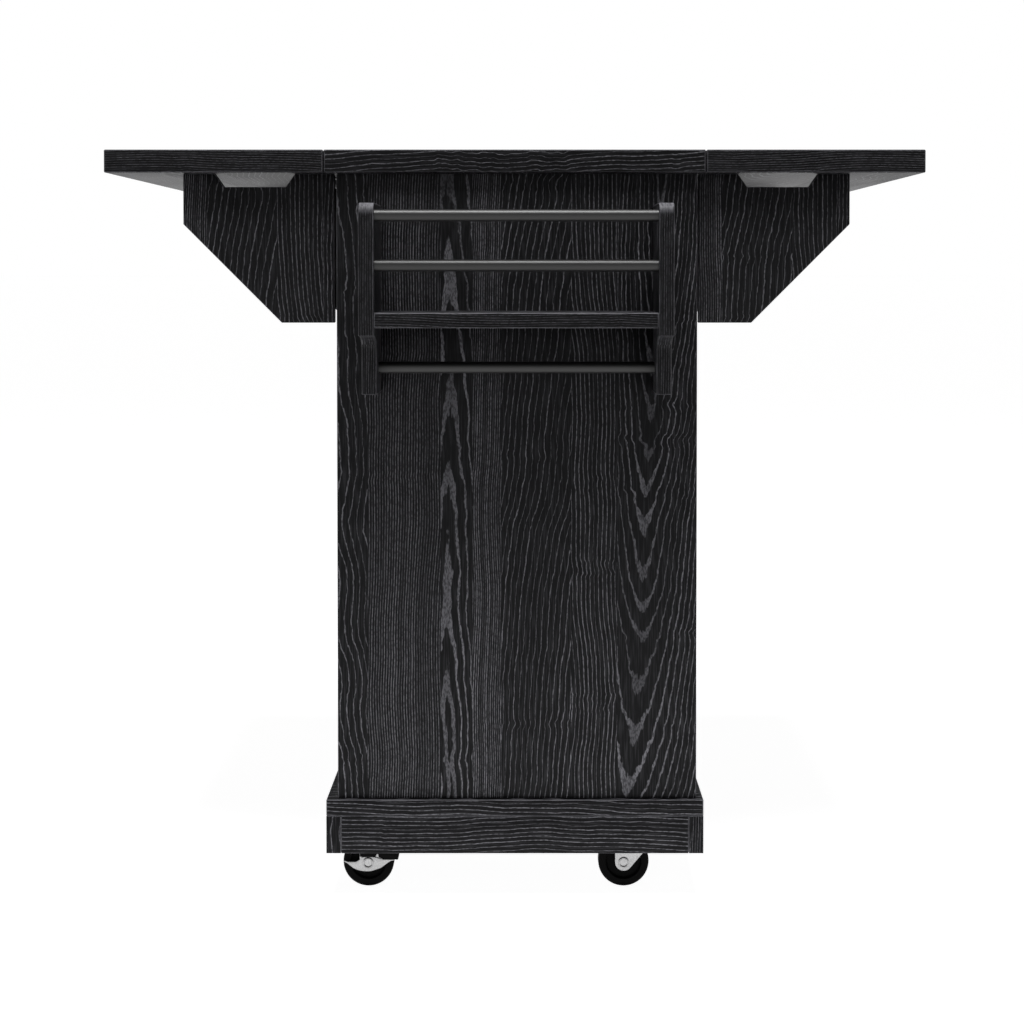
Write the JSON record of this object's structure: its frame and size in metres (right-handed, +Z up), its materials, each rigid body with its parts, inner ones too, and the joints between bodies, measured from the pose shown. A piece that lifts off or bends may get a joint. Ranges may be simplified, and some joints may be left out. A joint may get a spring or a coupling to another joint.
{
  "type": "drop leaf kitchen island",
  "caption": "Kitchen island on casters with a worktop, raised drop leaves on swing-out brackets, a cupboard, and a spice shelf with towel bar on one end.",
  "frame": {"origin": "centre of the footprint, on the floor under the casters", "axes": "+Z up, -Y towards the rack end, -X towards the doors"},
  "size_m": [1, 0.89, 0.92],
  "materials": {
    "black_oak": "satin",
    "dark_metal": "semi-gloss",
    "zinc": "satin",
    "wheel_black": "matte",
    "pedal_black": "matte"
  },
  "bodies": {
    "cabinet": {"top_main": "black_oak", "front_rail": "black_oak", "back_panel": "black_oak", "end_panel_rack": "black_oak", "end_panel_far": "black_oak", "inner_shelf": "black_oak", "base_board": "black_oak", "fascia_front": "black_oak", "fascia_back": "black_oak", "fascia_end_near": "black_oak", "fascia_end_far": "black_oak", "caster_board_near": "black_oak", "caster_board_far": "black_oak", "rack_upright_left": "black_oak", "rack_upright_right": "black_oak", "rack_shelf": "black_oak", "guard_bar_upper": "dark_metal", "guard_bar_lower": "dark_metal", "towel_bar": "dark_metal", "leaf_hinge_fixed_front_near": "dark_metal", "leaf_hinge_fixed_front_far": "dark_metal", "leaf_hinge_fixed_back_near": "dark_metal", "leaf_hinge_fixed_back_far": "dark_metal", "bracket_hinge_fixed_front_near": "dark_metal", "bracket_hinge_fixed_front_far": "dark_metal", "bracket_hinge_fixed_back_near": "dark_metal", "bracket_hinge_fixed_back_far": "dark_metal", "caster_plate_front_near": "zinc", "caster_plate_front_far": "zinc", "caster_plate_back_near": "zinc", "caster_plate_back_far": "zinc"},
    "leaf_front": {"leaf_front": "black_oak", "leaf_hinge_moving_front_near": "dark_metal", "leaf_hinge_moving_front_far": "dark_metal"},
    "leaf_back": {"leaf_back": "black_oak", "leaf_hinge_moving_back_near": "dark_metal", "leaf_hinge_moving_back_far": "dark_metal"},
    "bracket_front_near": {"bracket_front_near": "black_oak", "bracket_hinge_moving_front_near": "dark_metal"},
    "bracket_front_far": {"bracket_front_far": "black_oak", "bracket_hinge_moving_front_far": "dark_metal"},
    "bracket_back_near": {"bracket_back_near": "black_oak", "bracket_hinge_moving_back_near": "dark_metal"},
    "bracket_back_far": {"bracket_back_far": "black_oak", "bracket_hinge_moving_back_far": "dark_metal"},
    "door_near": {"door_near": "black_oak", "door_knob_near": "dark_metal"},
    "door_far": {"door_far": "black_oak", "door_knob_far": "dark_metal"},
    "caster_fork_front_near": {"caster_fork_front_near": "zinc"},
    "caster_wheel_front_near": {"caster_wheel_front_near": "wheel_black"},
    "brake_lever_front_near": {"brake_lever_front_near": "zinc"},
    "caster_fork_front_far": {"caster_fork_front_far": "zinc"},
    "caster_wheel_front_far": {"caster_wheel_front_far": "wheel_black"},
    "brake_lever_front_far": {"brake_lever_front_far": "zinc"},
    "caster_fork_back_near": {"caster_fork_back_near": "zinc"},
    "caster_wheel_back_near": {"caster_wheel_back_near": "wheel_black"},
    "caster_fork_back_far": {"caster_fork_back_far": "zinc"},
    "caster_wheel_back_far": {"caster_wheel_back_far": "wheel_black"}
  },
  "joints": [
    {"name": "leaf_front_lift", "type": "hinge", "parent": "cabinet", "child": "leaf_front", "pos_m": [-0.2368, 0.055, 0.8872], "axis": [0, 1, 0], "range_deg": [0, 1.5]},
    {"name": "leaf_back_lift", "type": "hinge", "parent": "cabinet", "child": "leaf_back", "pos_m": [0.2421, 0.055, 0.8872], "axis": [0, -1, 0], "range_deg": [0, 1.5]},
    {"name": "bracket_front_near_swing", "type": "hinge", "parent": "cabinet", "child": "bracket_front_near", "pos_m": [-0.2208, -0.2962, 0.8002], "axis": [0, 0, -1], "range_deg": [0, 90]},
    {"name": "bracket_front_far_swing", "type": "hinge", "parent": "cabinet", "child": "bracket_front_far", "pos_m": [-0.2208, 0.4062, 0.8002], "axis": [0, 0, 1], "range_deg": [0, 90]},
    {"name": "bracket_back_near_swing", "type": "hinge", "parent": "cabinet", "child": "bracket_back_near", "pos_m": [0.2261, -0.2962, 0.8002], "axis": [0, 0, 1], "range_deg": [0, 90]},
    {"name": "bracket_back_far_swing", "type": "hinge", "parent": "cabinet", "child": "bracket_back_far", "pos_m": [0.2261, 0.4062, 0.8002], "axis": [0, 0, -1], "range_deg": [0, 90]},
    {"name": "door_near_swing", "type": "hinge", "parent": "cabinet", "child": "door_near", "pos_m": [-0.213, -0.2945, 0.4125], "axis": [0, 0, 1], "range_deg": [0, 95]},
    {"name": "door_far_swing", "type": "hinge", "parent": "cabinet", "child": "door_far", "pos_m": [-0.213, 0.4045, 0.4125], "axis": [0, 0, -1], "range_deg": [0, 95]},
    {"name": "caster_front_near_swivel", "type": "hinge", "parent": "cabinet", "child": "caster_fork_front_near", "pos_m": [-0.16, -0.27, 0.075], "axis": [0, 0, 1], "continuous": true},
    {"name": "caster_front_near_roll", "type": "hinge", "parent": "caster_fork_front_near", "child": "caster_wheel_front_near", "pos_m": [-0.184, -0.27, 0.03175], "axis": [0, 1, 0], "continuous": true},
    {"name": "brake_front_near_press", "type": "hinge", "parent": "caster_fork_front_near", "child": "brake_lever_front_near", "pos_m": [-0.184, -0.27, 0.03175], "axis": [0, 1, 0], "range_deg": [0, 12]},
    {"name": "caster_front_far_swivel", "type": "hinge", "parent": "cabinet", "child": "caster_fork_front_far", "pos_m": [-0.16, 0.38, 0.075], "axis": [0, 0, 1], "continuous": true},
    {"name": "caster_front_far_roll", "type": "hinge", "parent": "caster_fork_front_far", "child": "caster_wheel_front_far", "pos_m": [-0.184, 0.38, 0.03175], "axis": [0, 1, 0], "continuous": true},
    {"name": "brake_front_far_press", "type": "hinge", "parent": "caster_fork_front_far", "child": "brake_lever_front_far", "pos_m": [-0.184, 0.38, 0.03175], "axis": [0, 1, 0], "range_deg": [0, 12]},
    {"name": "caster_back_near_swivel", "type": "hinge", "parent": "cabinet", "child": "caster_fork_back_near", "pos_m": [0.16, -0.27, 0.075], "axis": [0, 0, 1], "continuous": true},
    {"name": "caster_back_near_roll", "type": "hinge", "parent": "caster_fork_back_near", "child": "caster_wheel_back_near", "pos_m": [0.136, -0.27, 0.03175], "axis": [0, 1, 0], "continuous": true},
    {"name": "caster_back_far_swivel", "type": "hinge", "parent": "cabinet", "child": "caster_fork_back_far", "pos_m": [0.16, 0.38, 0.075], "axis": [0, 0, 1], "continuous": true},
    {"name": "caster_back_far_roll", "type": "hinge", "parent": "caster_fork_back_far", "child": "caster_wheel_back_far", "pos_m": [0.136, 0.38, 0.03175], "axis": [0, 1, 0], "continuous": true}
  ]
}
